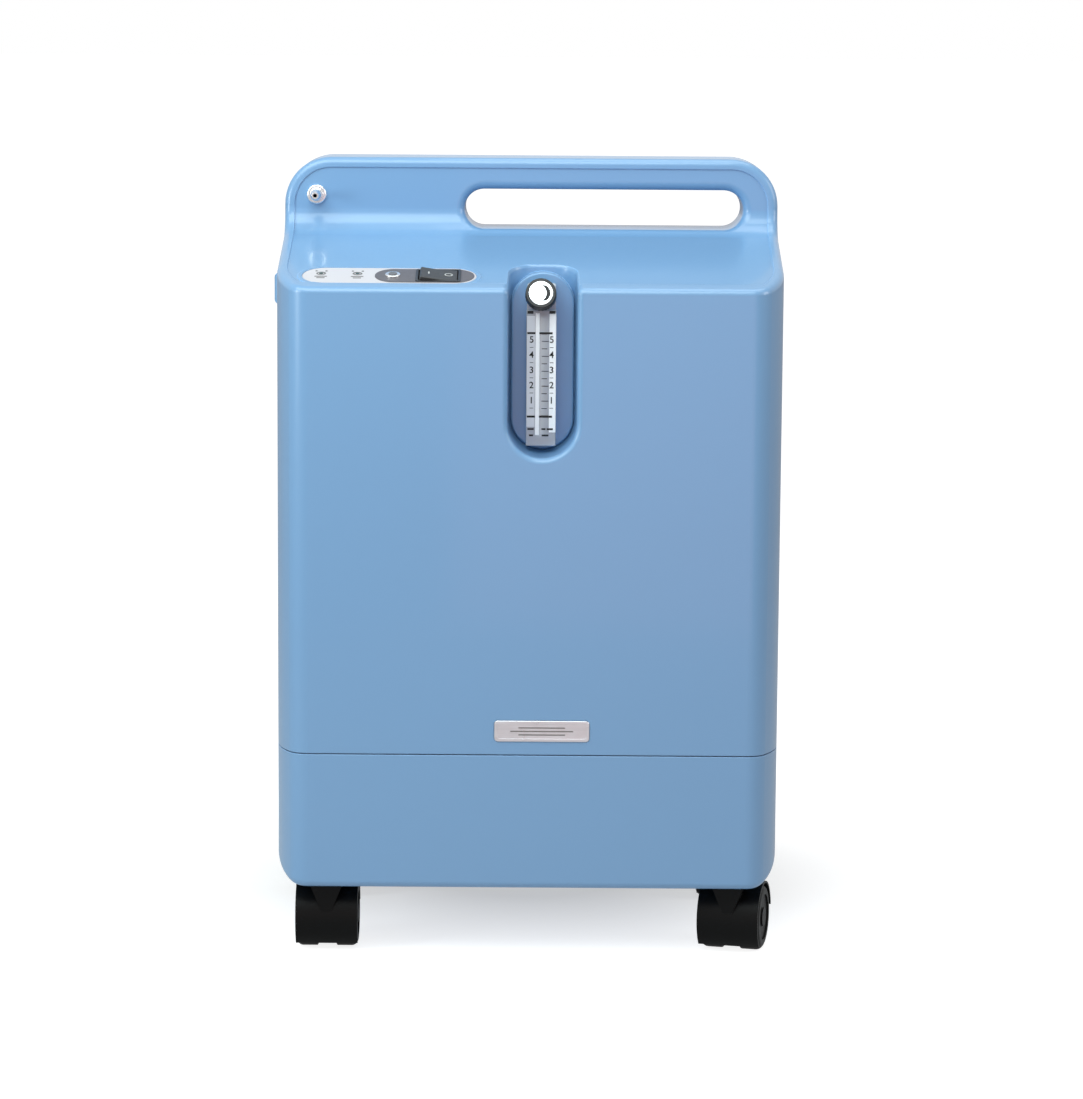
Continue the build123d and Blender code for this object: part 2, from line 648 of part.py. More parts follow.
def hood():
    """Web between the wheels with a fender, about the axle; swivels at +Y."""
    half = WEB_WIDTH / 2
    web = rod((-half, 0, 0), (half, 0, 0), 17.5)
    web += box((-half, half), (-8, TRAIL + 6.6), (0, 26.6))
    clear_r = WHEEL_R + FENDER_GAP
    outer_r = clear_r + FENDER_WALL
    fender_half = half + 0.4 + WHEEL_WIDTH
    fender = tube((-fender_half, 0, 0), (fender_half, 0, 0), outer_r, clear_r)
    over_top = box((-40, 40), (-30, TRAIL + 3), (4, 40))
    over_front = box((-40, 40), (TRAIL, 40), (FENDER_LOW_Z, 26.8))
    fender = fender & (over_top + over_front)
    bridge_room = box((-half, half), (-26, 40), (0, 26))
    bridge_room += box((-half, half), (0, 40), (FENDER_LOW_Z, 1))
    bridge = bridge_room & rod((-half, 0, 0), (half, 0, 0), clear_r + 0.4)
    tongue_plane = Plane(origin=(0, TRAIL + 3, 0), x_dir=(1, 0, 0), z_dir=(0, -1, 0))
    tongue_outline = make_face(Polyline(
        (-12, 26.8), (12, 26.8), (3.5, 7), (-3.5, 7), (-12, 26.8)
    ))
    tongue = extrude(tongue_plane * tongue_outline, TONGUE_DEPTH)
    for side in (-1, 1):
        tongue -= rod((side * half, 0, 0), (side * 40, 0, 0), clear_r)
    body = web + fender + bridge + tongue
    body -= rod((-20, 0, 0), (20, 0, 0), AXLE_R)
    body -= rod((0, TRAIL, 8), (0, TRAIL, 40), STEM_R + FIT)
    return body


hood_shape = hood()
axle_half = WEB_WIDTH / 2 + 11.0
axle_shape = rod((-axle_half, 0, 0), (axle_half, 0, 0), AXLE_R)
for key, (x, y, turn) in CASTERS.items():
    place = Pos(x, y, WHEEL_R) * Rot(0, 0, turn) * Pos(0, -TRAIL, 0)
    save(f"caster_{key}_hood", place * hood_shape)
    save(f"caster_{key}_axle", place * axle_shape)
    save(f"caster_{key}_wheel_l", place * wheel(-1))
    save(f"caster_{key}_wheel_r", place * wheel(1))
    stem = rod((x, y, WHEEL_R + 9), (x, y, 73.5), STEM_R)
    stems.append(chamfer(stem.edges().group_by(Axis.Z)[-1], 0.8))
save("caster_stems", *stems)

# ---------------------------------------------------------------- rear fittings
door = box(DOOR_X, (REAR_Y - 3.4, REAR_Y - 0.2), (DOOR_Z[0], DOOR_Z[1] - 0.5))
door = fillet(door.edges().group_by(Axis.Y)[-1], 0.6)
for i in range(9):
    z = DOOR_Z[0] + 18 + 11.5 * i
    slot_plane = Plane(origin=(sum(DOOR_X) / 2, REAR_Y - 6, z), x_dir=(1, 0, 0), z_dir=(0, 1, 0))
    door -= pill(slot_plane, 92, 5.0, 10)
for x in DOOR_X:
    side = -1 if x == DOOR_X[0] else 1
    door += rod((x - side, HINGE_Y, HINGE_Z), (x + 4.0 * side, HINGE_Y, HINGE_Z), 1.0)
save("filter_door", door)
save("foam_filter", box(filter_x, (102, REAR_Y - WALL - 1.4), filter_z))

inlet = box((INLET_X - 24, INLET_X + 24), (REAR_Y, REAR_Y + 2), (INLET_Z - 15, INLET_Z + 15))
inlet = fillet(inlet.edges().filter_by(Axis.Y), 3)
inlet += box((INLET_X - 14.2, INLET_X + 14.2), (92, REAR_Y + 1), (INLET_Z - 10.7, INLET_Z + 10.7))
inlet_plane = Plane(origin=(INLET_X, REAR_Y + 3, INLET_Z), x_dir=(-1, 0, 0), z_dir=(0, 1, 0))
cavity_outline = make_face(Polyline(
    (-12.2, -8.2), (12.2, -8.2), (12.2, 3.4), (7.4, 8.2), (-7.4, 8.2), (-12.2, 3.4), (-12.2, -8.2)
))
inlet -= extrude(inlet_plane * cavity_outline, -20)
for x, z in ((-7.0, -1.0), (7.0, -1.0), (0.0, 3.0)):
    inlet += box(
        (INLET_X + x - 1, INLET_X + x + 1), (82, REAR_Y - 1), (INLET_Z + z - 2, INLET_Z + z + 2)
    )
save("power_inlet", inlet)



def hours_box(half_width, y, half_height):
    """Box of the hour meter about its middle."""
    return box(
        (INLET_X - half_width, INLET_X + half_width), y, (HOURS_Z - half_height, HOURS_Z + half_height)
    )


hours = hours_box(18.2, (96, REAR_Y + 0.5), 12.2) + hours_box(20.5, (REAR_Y, REAR_Y + 1.6), 14.5)
hours -= hours_box(12.5, (REAR_Y - 0.6, REAR_Y + 3), 4.5)
save("hour_meter", hours)

screws = []
for x, z in COVER_SCREWS:
    head = rod((x, REAR_Y - 3, z), (x, REAR_Y - 0.6, z), 4.2)
    head = fillet(head.edges().sort_by(Axis.Y)[-1:], 0.8)
    head -= box((x - 2.6, x + 2.6), (REAR_Y - 1.8, REAR_Y), (z - 0.45, z + 0.45))
    head -= box((x - 0.45, x + 0.45), (REAR_Y - 1.8, REAR_Y), (z - 2.6, z + 2.6))
    screws.append(head + rod((x, 14, z), (x, REAR_Y - 2.9, z), 1.7))
save("cover_screws", *screws)

# ---------------------------------------------------------------- chassis
chassis = box((-160, 160), (-50, 50), (CHASSIS_Z, CHASSIS_Z + CHASSIS_THICK))
for x in (-150.0, 150.0):
    for y in (-40.0, 40.0):
        chassis -= rod((x, y, 60), (x, y, 80), 2.2)
chassis += box((-140, 140), (48.5, 50), (CHASSIS_Z, 430))
for x in (-125.0, 125.0):
    chassis -= rod((x, 40, 400), (x, 60, 400), 12)
save("chassis", chassis)

# ---------------------------------------------------------------- compressor
def motor_point(x, dy=0.0, dz=0.0):
    return (x, MOTOR_Y + dy, MOTOR_Z + dz)


stator = tube(motor_point(-30), motor_point(30), 46, 33)
for i in range(4):
    angle = math.radians(45 + 90 * i)
    dy, dz = 40 * math.cos(angle), 40 * math.sin(angle)
    stator -= rod(motor_point(-40, dy, dz), motor_point(40, dy, dz), 2.0)
for side in (-1, 1):
    stator += tube(motor_point(29 * side), motor_point(40.5 * side), 42, 35)
save("motor_stator", stator)

case_parts = []
for side in (-1, 1):
    near = 41.0 * side
    far = 76.0 * side
    crank = rod(motor_point(near), motor_point(far), 40)
    crank -= rod(motor_point(near + 5 * side), motor_point(far + side), 34)
    crank -= rod(motor_point(near - side), motor_point(far), 8.05)
    centre = CYLINDER_X * side
    crank += rod((centre, MOTOR_Y, MOTOR_Z + 36), (centre, MOTOR_Y, MOTOR_Z + 72), 17)
    crank -= rod((centre, MOTOR_Y, MOTOR_Z), (centre, MOTOR_Y, MOTOR_Z + 80), 13.5)
    foot_x = sorted((44.0 * side, 74.0 * side))
    foot = box(foot_x, (MOTOR_Y - 46, MOTOR_Y + 46), (FOOT_Z, FOOT_Z + 14))
    crank += foot - rod(motor_point(near), motor_point(far), 39)
    case_parts.append(crank)
save("compressor_case", *case_parts)

heads = []
for side in (-1, 1):
    centre = CYLINDER_X * side
    top = MOTOR_Z + 72
    head = box((centre - 28, centre + 28), (MOTOR_Y - 28, MOTOR_Y + 28), (top, top + 16))
    for i in range(6):
        y = MOTOR_Y - 20 + 8 * i
        head -= box((centre - 40, centre + 40), (y - 2.2, y + 2.2), (top + 9, top + 20))
    heads.append(head)
save("cylinder_heads", *heads)

shaft = rod(motor_point(-70), motor_point(104), 8.0)
shaft += rod(motor_point(-29), motor_point(29), 32.4)
save("rotor_shaft", shaft)

fan = tube(motor_point(86), motor_point(100), 12, 8.0)
for i in range(7):
    blade = box((88, 98), (-1.0, 1.0), (10, 42))
    blade = Rot(0, 0, 32) * Pos(-93, 0, 0) * blade
    fan += Pos(93, MOTOR_Y, MOTOR_Z) * Rot(360 / 7 * i, 0, 0) * blade
save("cooling_fan", fan)

springs = []
for x in (-59.0, 59.0):
    for y in (MOTOR_Y - 38, MOTOR_Y + 38):
        start = CHASSIS_Z + CHASSIS_THICK + 1.6
        path = Pos(x, y, start) * Helix(pitch=5.0, height=FOOT_Z - start - 1.6, radius=7.5)
        section = Plane(origin=path @ 0, z_dir=path % 0) * Circle(1.3)
        springs.append(sweep(section, path=path, is_frenet=True))
save("mount_springs", *springs)

# ---------------------------------------------------------------- gas circuit
beds = []
for x in BEDS_X:
    bed = rod((x, BEDS_Y, BED_Z[0]), (x, BEDS_Y, BED_Z[1]), 24)
    beds.append(fillet(bed.edges(), 3.0))
save("sieve_beds", *beds)

tank = rod((28, 84, 78), (28, 84, 330), 28)
save("product_tank", fillet(tank.edges(), 8.0))

manifold = box((-140, -16), (51, 98), (394, 418))
manifold = fillet(manifold.edges().filter_by(Axis.Z), 4.0)
for x in (-118.0, -92.0, -64.0, -38.0):
    manifold += rod((x, BEDS_Y, 417), (x, BEDS_Y, 448), 9)
save("valve_manifold", manifold)

def coil_run(i):
    """Straight run number i of the cooling coil."""
    z = COIL_Z + COIL_STEP * i
    return rod((-COIL_HALF, 20, z), (COIL_HALF, 20, z), COIL_R)


coil = coil_run(0)
for i in range(3):
    side = 1 if i % 2 == 0 else -1
    end = COIL_HALF * side
    low_z = COIL_Z + COIL_STEP * i
    section = Plane(origin=(end, 20, low_z), x_dir=(0, 1, 0), z_dir=(1, 0, 0)) * Circle(COIL_R)
    turn_axis = Axis((end, 20, low_z + COIL_STEP / 2), (0, -side, 0))
    coil += revolve(section, axis=turn_axis, revolution_arc=180)
    coil += coil_run(i + 1)
save("heat_exchanger", coil)

muffler = rod((138, -70, 120), (138, -70, 230), 26)
muffler = fillet(muffler.edges(), 6.0)
muffler += rod((138, -70, 228), (138, -70, 246), 8)
exhaust = rod((-128, -64, 92), (-128, -64, 190), 24)
save("mufflers", muffler, fillet(exhaust.edges(), 6.0))

regulator = rod((60, -20, 380), (60, -20, 404), 15)
regulator += rod((60, -20, 404), (60, -20, 424), 10)
regulator += box((40, 80), (-26, -14), (385, 397))
save("pressure_regulator", regulator)

hepa = rod((-120, -50, 380), (-120, -50, 410), 22)
hepa += rod((-120, -50, 368), (-120, -50, 422), 4)
save("bacteria_filter", hepa)

power_board = box((100, 102), (-30, 46), (290, 400))
power_board += box((92, 100), (-20, 20), (330, 380))
power_board += box((86, 100), (24, 42), (300, 330))
save("power_board", power_board)

capacitor = rod((138, 10, 300), (138, 10, 372), 19)
save("run_capacitor", fillet(capacitor.edges(), 2.0))


def hose(start, start_dir, middle, end, end_dir, radius=3.0):
    points = [Vector(*p) for p in (start, *middle, end)]
    path = Spline(points, tangents=(Vector(*start_dir), Vector(*end_dir)))
    section = Plane(origin=path @ 0, z_dir=path % 0) * Circle(radius)
    return sweep(section, path=path)


ports = [(METER_X, METER_Y[1] + 16.5, z) for z in PORTS_Z]
hoses = [
    hose(
        (-120, -50, 422.5), (0, 0, 1),
        [(-128, -35, 462), (-150, 5, 497), (-161, 40, 527)],
        (OUTLET_X, face_y + 15, OUTLET_Z), (0, -1, 0),
    ),
    hose((60, -20, 424.5), (0, 0, 1), [(45, -25, 455)], ports[1], (0, -1, 0)),
    hose(ports[0], (0, 1, 0), [(-50, -30, 350)], (-120, -50, 367.5), (0, 0, 1)),
]
save("tubing", *hoses)
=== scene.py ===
import json
import math

import bmesh
import bpy
from mathutils import Matrix, Vector


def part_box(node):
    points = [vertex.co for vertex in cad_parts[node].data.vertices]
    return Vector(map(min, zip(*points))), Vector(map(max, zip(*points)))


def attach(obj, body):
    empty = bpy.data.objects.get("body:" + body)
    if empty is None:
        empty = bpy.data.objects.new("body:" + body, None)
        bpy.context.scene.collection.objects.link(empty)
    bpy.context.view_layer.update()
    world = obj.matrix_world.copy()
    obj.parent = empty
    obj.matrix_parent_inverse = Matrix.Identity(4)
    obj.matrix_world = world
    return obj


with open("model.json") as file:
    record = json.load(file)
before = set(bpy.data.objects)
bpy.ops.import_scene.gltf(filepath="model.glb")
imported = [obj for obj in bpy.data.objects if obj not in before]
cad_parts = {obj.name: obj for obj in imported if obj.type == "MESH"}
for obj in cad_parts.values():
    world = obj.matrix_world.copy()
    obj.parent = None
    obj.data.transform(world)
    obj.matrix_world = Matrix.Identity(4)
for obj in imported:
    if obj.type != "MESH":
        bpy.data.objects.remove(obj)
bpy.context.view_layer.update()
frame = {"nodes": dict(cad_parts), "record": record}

MM = 0.001
PRINT_THICK = 0.08 * MM
NODES = frame["nodes"]
SLOTS = {s["node"]: s["material_slot"] for s in frame["record"]["subparts"]}
scene = bpy.context.scene


# ------------------------------------------------------------------ materials
class Shader:
    """A node material around one Principled shader."""

    def __init__(self, name):
        self.material = bpy.data.materials.new(name)
        self.material.use_nodes = True
        self.tree = self.material.node_tree
        self.surface = self.tree.nodes["Principled BSDF"]
        self.coords = self.add("ShaderNodeTexCoord").outputs["Object"]

    def add(self, kind, **values):
        node = self.tree.nodes.new(kind)
        for key, value in values.items():
            setattr(node, key, value)
        return node

    def link(self, output, target):
        self.tree.links.new(output, target)

    def noise(self, scale, detail=3.0, roughness=0.5, coords=None):
        node = self.add("ShaderNodeTexNoise")
        node.inputs["Scale"].default_value = scale
        node.inputs["Detail"].default_value = detail
        node.inputs["Roughness"].default_value = roughness
        self.link(coords or self.coords, node.inputs["Vector"])
        return node.outputs["Fac"]

    def ramp(self, value, low, high, start=0.3, end=0.7):
        node = self.add("ShaderNodeMapRange")
        node.inputs["From Min"].default_value = start
        node.inputs["From Max"].default_value = end
        node.inputs["To Min"].default_value = low
        node.inputs["To Max"].default_value = high
        self.link(value, node.inputs["Value"])
        return node.outputs["Result"]

    def mix(self, factor, first, second):
        node = self.add("ShaderNodeMix", data_type="RGBA")
        self.link(factor, node.inputs[0])
        for index, value in ((6, first), (7, second)):
            if isinstance(value, tuple):
                node.inputs[index].default_value = (*value, 1.0)
            else:
                self.link(value, node.inputs[index])
        return node.outputs[2]

    def bump(self, height, strength, distance, normal=None):
        node = self.add("ShaderNodeBump")
        node.inputs["Strength"].default_value = strength
        node.inputs["Distance"].default_value = distance
        self.link(height, node.inputs["Height"])
        if normal is not None:
            self.link(normal, node.inputs["Normal"])
        return node.outputs["Normal"]

    def rounded(self, radius):
        node = self.add("ShaderNodeBevel", samples=4)
        node.inputs["Radius"].default_value = radius
        return node.outputs["Normal"]

    def edge_mask(self, rounded_normal):
        geometry = self.add("ShaderNodeNewGeometry")
        dot = self.add("ShaderNodeVectorMath", operation="DOT_PRODUCT")
        self.link(rounded_normal, dot.inputs[0])
        self.link(geometry.outputs["Normal"], dot.inputs[1])
        return self.ramp(dot.outputs["Value"], 1.0, 0.0, 0.90, 0.995)


def shade(c):
    """Linear value of an sRGB level out of 255."""
    c = c / 255
    return c / 12.92 if c <= 0.04045 else ((c + 0.055) / 1.055) ** 2.4


def rgb(r, g, b):
    return (shade(r), shade(g), shade(b))


def moulded(name, colour, roughness, grain=0.0, variation=0.04, radius=0.4 * MM, edge=0.12, coat=0.0,
            specular=0.5):
    """Injection-moulded plastic: fine grain, faint mottling, and softened edges that are paled, partly as
    wear and partly as a painted highlight.
    """
    m = Shader(name)
    mottle = m.ramp(m.noise(9.0, 4.0), 0.0, 1.0)
    dark = tuple(c * (1 - variation) for c in colour)
    light = tuple(min(1.0, c * (1 + variation)) for c in colour)
    base = m.mix(mottle, dark, light)
    normal = m.rounded(radius)
    # Paler edges: partly wear, partly a painted highlight where light catches the rounded edges.
    edge_wear_and_sheen = tuple(min(1.0, c * (1 + edge) + 0.04 * edge) for c in colour)
    m.link(m.mix(m.edge_mask(normal), base, edge_wear_and_sheen), m.surface.inputs["Base Color"])
    rough = m.ramp(m.noise(260.0, 4.0), roughness * 0.94, roughness * 1.08)
    m.link(rough, m.surface.inputs["Roughness"])
    if grain:
        fine = m.noise(2600.0, 2.0)
        normal = m.bump(fine, grain, 0.02 * MM, normal)
    m.link(normal, m.surface.inputs["Normal"])
    m.surface.inputs["IOR"].default_value = 1.49
    m.surface.inputs["Specular IOR Level"].default_value = specular
    m.surface.inputs["Coat Weight"].default_value = coat
    m.surface.inputs["Coat Roughness"].default_value = 0.08
    return m.material


def metal(name, colour, roughness, brushed=(1, 1, 1), depth=0.12, radius=0.25 * MM):
    """Metal with fine lines stretched along one axis and uneven polish."""
    m = Shader(name)
    mapping = m.add("ShaderNodeMapping")
    mapping.inputs["Scale"].default_value = brushed
    m.link(m.coords, mapping.inputs["Vector"])
    lines = m.noise(900.0, 3.0, coords=mapping.outputs["Vector"])
    dark = tuple(c * 0.88 for c in colour)
    m.link(m.mix(m.ramp(lines, 0.0, 1.0), dark, colour), m.surface.inputs["Base Color"])
    m.link(m.ramp(m.noise(150.0, 4.0), roughness * 0.75, roughness * 1.3), m.surface.inputs["Roughness"])
    m.link(m.bump(lines, depth, 0.03 * MM, m.rounded(radius)), m.surface.inputs["Normal"])
    m.surface.inputs["Metallic"].default_value = 1.0
    return m.material


def clear(name, tint, alpha, roughness=0.02):
    """Clear moulding: the clouding varies slightly, and the gloss comes from the shader."""
    m = Shader(name)
    m.link(m.mix(m.ramp(m.noise(60.0), 0, 1), tuple(c * 0.96 for c in tint), tint),
           m.surface.inputs["Base Color"])
    m.surface.inputs["Alpha"].default_value = alpha
    m.surface.inputs["IOR"].default_value = 1.6
    m.link(m.ramp(m.noise(400.0), roughness * 0.6, roughness * 2.0), m.surface.inputs["Roughness"])
    return m.material


def lamp_lens(name, colour):
    """Small translucent lens with a speckled tint."""
    m = Shader(name)
    m.link(m.mix(m.ramp(m.noise(600.0), 0, 1), tuple(c * 0.8 for c in colour), colour),
           m.surface.inputs["Base Color"])
    m.surface.inputs["Transmission Weight"].default_value = 0.4
    m.surface.inputs["Roughness"].default_value = 0.15
    return m.material


def foam(name, colour):
    """Open-cell foam: pale walls, with the pores between them darkened as painted shade."""
    m = Shader(name)
    cells = m.add("ShaderNodeTexVoronoi")
    cells.inputs["Scale"].default_value = 900.0
    m.link(m.coords, cells.inputs["Vector"])
    # Painted shade: each cell darkens towards its middle, standing for a shaded pore.
    pore_shade = m.ramp(cells.outputs["Distance"], 0.0, 1.0, 0.0, 0.6)
    m.link(m.mix(pore_shade, tuple(c * 0.3 for c in colour), colour), m.surface.inputs["Base Color"])
    m.link(m.bump(cells.outputs["Distance"], 0.8, 0.6 * MM), m.surface.inputs["Normal"])
    m.surface.inputs["Roughness"].default_value = 0.95
    return m.material


CABINET = rgb(115, 155, 194)
FINISHES = {
    "cabinet_blue": moulded("cabinet_blue", CABINET, 0.30, grain=0.03, variation=0.004, radius=1.2 * MM,
                            edge=0.5, coat=0.35),
    "badge_silver": metal("badge_silver", (0.66, 0.67, 0.70), 0.34, (0.03, 1, 1)),
    "panel_white": moulded("panel_white", rgb(206, 200, 203), 0.32, grain=0.1, variation=0.01, edge=0.0),
    "overlay_grey": moulded("overlay_grey", rgb(92, 88, 93), 0.42, grain=0.3, variation=0.03, edge=0.05),
    "lens_green": lamp_lens("lens_green", rgb(96, 112, 96)),
    "board_green": moulded("board_green", rgb(28, 92, 52), 0.35, grain=0.4, edge=0.1),
    "switch_black": moulded("switch_black", rgb(26, 26, 29), 0.30, grain=0.3, variation=0.08, edge=0.06),
    "rocker_grey": moulded("rocker_grey", rgb(48, 48, 49), 0.44, grain=0.3, variation=0.06, edge=0.10),
    "button_grey": moulded("button_grey", rgb(98, 97, 101), 0.30, grain=0.2, edge=0.0),
    "breaker_nickel": metal("breaker_nickel", (0.86, 0.86, 0.87), 0.22, (1, 1, 0.05)),
    "clear_acrylic": clear("clear_acrylic", (0.95, 0.96, 0.98), 0.42),
    "scale_white": moulded("scale_white", rgb(252, 252, 253), 0.35, grain=0.1, variation=0.01, edge=0.0),
    "scale_silver": moulded("scale_silver", rgb(212, 214, 220), 0.30, grain=0.1, variation=0.02, edge=0.0),
    "print_black": moulded("print_black", rgb(8, 8, 10), 0.60, grain=0.2, edge=0.0),
    "print_grey": moulded("print_grey", rgb(112, 108, 106), 0.55, grain=0.2, edge=0.0),
    "print_light": moulded("print_light", rgb(196, 196, 194), 0.50, grain=0.2, edge=0.0),
    "steel": metal("steel", (0.60, 0.61, 0.63), 0.25),
    "knob_black": moulded("knob_black", rgb(16, 16, 18), 0.42, grain=0.5, variation=0.08, edge=0.08),
    "cap_silver": metal("cap_silver", (0.95, 0.95, 0.95), 0.26, (1, 1, 0.05)),
    "brass": metal("brass", (0.78, 0.60, 0.30), 0.28),
    "chrome": metal("chrome", (0.93, 0.93, 0.94), 0.24, depth=0.04),
    "caster_black": moulded("caster_black", rgb(5, 5, 5), 0.42, grain=0.4, variation=0.12, edge=0.3,
                            specular=0.14),
    "wheel_black": moulded("wheel_black", rgb(6, 6, 6), 0.42, grain=0.4, variation=0.15, edge=0.3,
                           specular=0.14),
    "foam": foam("foam", rgb(66, 66, 70)),
    "zinc_plate": metal("zinc_plate", (0.62, 0.64, 0.66), 0.35),
    "motor_steel": metal("motor_steel", (0.42, 0.43, 0.45), 0.40, (0.05, 1, 1), 0.4),
    "cast_aluminium": metal("cast_aluminium", (0.62, 0.63, 0.65), 0.50, depth=0.6),
    "fan_grey": moulded("fan_grey", rgb(74, 76, 80), 0.45, grain=0.6),
    "canister_alloy": metal("canister_alloy", (0.72, 0.73, 0.75), 0.30, (1, 1, 0.05)),
    "tank_white": moulded("tank_white", rgb(226, 228, 230), 0.42, grain=0.5),
    "copper": metal("copper", (0.80, 0.46, 0.32), 0.28),
    "hose": moulded("hose", rgb(206, 212, 216), 0.40, grain=0.3),
}
for name, node in NODES.items():
    node.data.materials.clear()
    node.data.materials.append(FINISHES[SLOTS[name]])
NODES["switch_rocker"].data.materials[0] = FINISHES["rocker_grey"]


# ------------------------------------------------------------------ helpers
def frame_matrix(origin, x_dir, z_dir):
    """Place and turn of a local frame, from its origin and two of its axes."""
    x, z = Vector(x_dir).normalized(), Vector(z_dir).normalized()
    matrix = Matrix((x, z.cross(x), z)).transposed().to_4x4()
    matrix.translation = Vector(origin)
    return matrix


def ring_points(radius, count=48, centre=(0, 0), start=0.0, end=2 * math.pi):
    """Points of an arc, by default a whole circle whose last point repeats the first."""
    steps = [start + (end - start) * i / count for i in range(count + 1)]
    return [(centre[0] + radius * math.cos(a), centre[1] + radius * math.sin(a)) for a in steps]


def bar_points(x, y, width, height):
    """Corners of a bar about its middle."""
    w, h = width / 2, height / 2
    return [(x - w, y - h), (x + w, y - h), (x + w, y + h), (x - w, y + h)]


def band_points(outer, inner):
    """Pairs of points along an open or closed band, outer edge with inner edge."""
    return list(zip(outer, inner))


def add_prism(bm, points, thickness):
    """A flat outline in XY, thickened along Z from zero."""
    face = bm.faces.new([bm.verts.new((x, y, 0)) for x, y in points])
    moved = bmesh.ops.extrude_face_region(bm, geom=[face])["geom"]
    top = [v for v in moved if isinstance(v, bmesh.types.BMVert)]
    bmesh.ops.translate(bm, verts=top, vec=(0, 0, thickness))


def add_band(bm, pairs, thickness, closed=False):
    """A flat band between two edges, thickened along Z from zero."""
    rows = [[bm.verts.new((x, y, z)) for z in (0, thickness) for x, y in pair] for pair in pairs]
    following = rows[1:] + rows[:1] if closed else rows[1:]
    for (a, b, c, d), (e, f, g, h) in zip(rows, following):
        for corners in ((a, e, f, b), (c, d, h, g), (a, c, g, e), (b, f, h, d)):
            bm.faces.new(corners)
    if not closed:
        for a, b, c, d in (rows[0], rows[-1]):
            bm.faces.new((a, b, d, c))


def print_piece(name, place, make, finish, body):
    """A thin printed or moulded mark made in its own plane, riding on a body."""
    mesh = bpy.data.meshes.new(name)
    bm = bmesh.new()
    make(bm)
    bmesh.ops.recalc_face_normals(bm, faces=bm.faces)
    bm.to_mesh(mesh)
    bm.free()
    mesh.transform(place)
    obj = bpy.data.objects.new(name, mesh)
    scene.collection.objects.link(obj)
    obj.data.materials.append(FINISHES[finish])
    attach(obj, body)
    return obj


def text_piece(name, text, place, height, finish, body):
    """A printed character, slightly raised, riding on a body."""
    curve = bpy.data.curves.new(name, "FONT")
    curve.body = text
    curve.size = height * 1.4
    curve.align_x = "CENTER"
    curve.align_y = "CENTER"
    curve.extrude = 0.05 * MM
    curve.offset = 0.08 * MM
    obj = bpy.data.objects.new(name, curve)
    scene.collection.objects.link(obj)
    obj.matrix_world = place
    obj.data.materials.append(FINISHES[finish])
    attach(obj, body)
    return obj


# ------------------------------------------------------------------ flow meter face
meter_low, meter_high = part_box("flowmeter_body")
meter_x = (meter_low.x + meter_high.x) / 2
face_y = meter_low.y
scale_low, scale_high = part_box("flow_scale")
SCALE_STEP = (scale_high.z - scale_low.z) / 5.5


def on_meter(x, z, lift=0.0):
    """Frame on the meter's front face: x from its middle, z above its lower end."""
    return frame_matrix((meter_x + x, face_y - lift, meter_low.z + z), (1, 0, 0), (0, -1, 0))


def strip(name, x, z, width, height, finish, lift=0.0):
    """A printed bar on the meter's face, about its middle."""
    print_piece(name, on_meter(x, z, lift),
                lambda bm: add_prism(bm, bar_points(0, 0, width, height), PRINT_THICK), finish, "cabinet")


# name, x of the middle, lower end, upper end and width in millimetres, and finish
PLATES = (
    ("meter_scale_left", -7.5, 14, 95, 6.0, "scale_silver"),
    # The middle white strip is a painted highlight: the bright line along the float tube's bore, set beside
    # the tube.
    ("meter_float_line", -2.7, 8, 97, 3.0, "scale_white"),
    ("meter_scale_right", 8.3, 10, 97, 4.9, "scale_white"),
)
for name, x, low, high, width, finish in PLATES:
    strip(name, x * MM, (low + high) / 2 * MM, width * MM, (high - low) * MM, finish)

LINE_LIFT = 0.09 * MM
LINE_HEIGHT = 1.5 * MM
LINES = (("left", -7.2 * MM, 6.0 * MM), ("right", 3.4 * MM, 9.6 * MM))
for level, z in (("top", scale_high.z - meter_low.z), ("bottom", scale_low.z - meter_low.z)):
    for side, x, width in LINES:
        strip(f"meter_line_{level}_{side}", x, z, width, LINE_HEIGHT, "print_black", LINE_LIFT)

NUMBER_LIFT = 0.15 * MM
NUMBER_HEIGHT = 4.8 * MM
NUMBER_X = (("l", -7.0 * MM), ("r", 7.6 * MM))
FIRST_NUMBER = 1.06
TICK_WIDTH = 2.6 * MM
TICK_HEIGHT = 0.4 * MM
for i in range(5):
    z = scale_low.z - meter_low.z + SCALE_STEP * (i + FIRST_NUMBER)
    for key, x in NUMBER_X:
        text_piece(f"scale_number_{i + 1}_{key}", str(i + 1), on_meter(x, z, NUMBER_LIFT),
                   NUMBER_HEIGHT, "print_black", "cabinet")
        strip(f"scale_tick_{i + 1}_{key}", x, z - SCALE_STEP / 2, TICK_WIDTH, TICK_HEIGHT, "print_black",
              LINE_LIFT)

# x and z of the middle, and width, in millimetres: one row of three marks and one of two below it
FOOT_MARKS = ((-7.4, 12.4, 4.6), (2.0, 12.4, 3.0), (6.6, 12.4, 4.6), (-7.0, 7.8, 3.0), (3.2, 7.8, 5.0))
FOOT_MARK_HEIGHT = 1.3 * MM
for i, (x, z, width) in enumerate(FOOT_MARKS):
    strip(f"meter_foot_mark_{i}", x * MM, z * MM, width * MM, FOOT_MARK_HEIGHT, "print_black", LINE_LIFT)

CLAMP_X = 8.0 * MM
CLAMP_Z = 97.6 * MM
CLAMP_WIDTH = 4.4 * MM
CLAMP_HEIGHT = 2.2 * MM
for key, side in (("l", -1), ("r", 1)):
    strip(f"meter_clamp_{key}", side * CLAMP_X, CLAMP_Z, CLAMP_WIDTH, CLAMP_HEIGHT, "print_black")

# ------------------------------------------------------------------ knob cap
JOINTS = {j["name"]: j for j in frame["record"]["behaviour"]["joints"]}
knob_axis = Vector(JOINTS["flow_adjust"]["axis"])
cap_low, cap_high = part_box("knob_cap")
cap_middle = (cap_low + cap_high) / 2
CAP_HALF = 0.6 * MM
cap_face = cap_middle + knob_axis * CAP_HALF


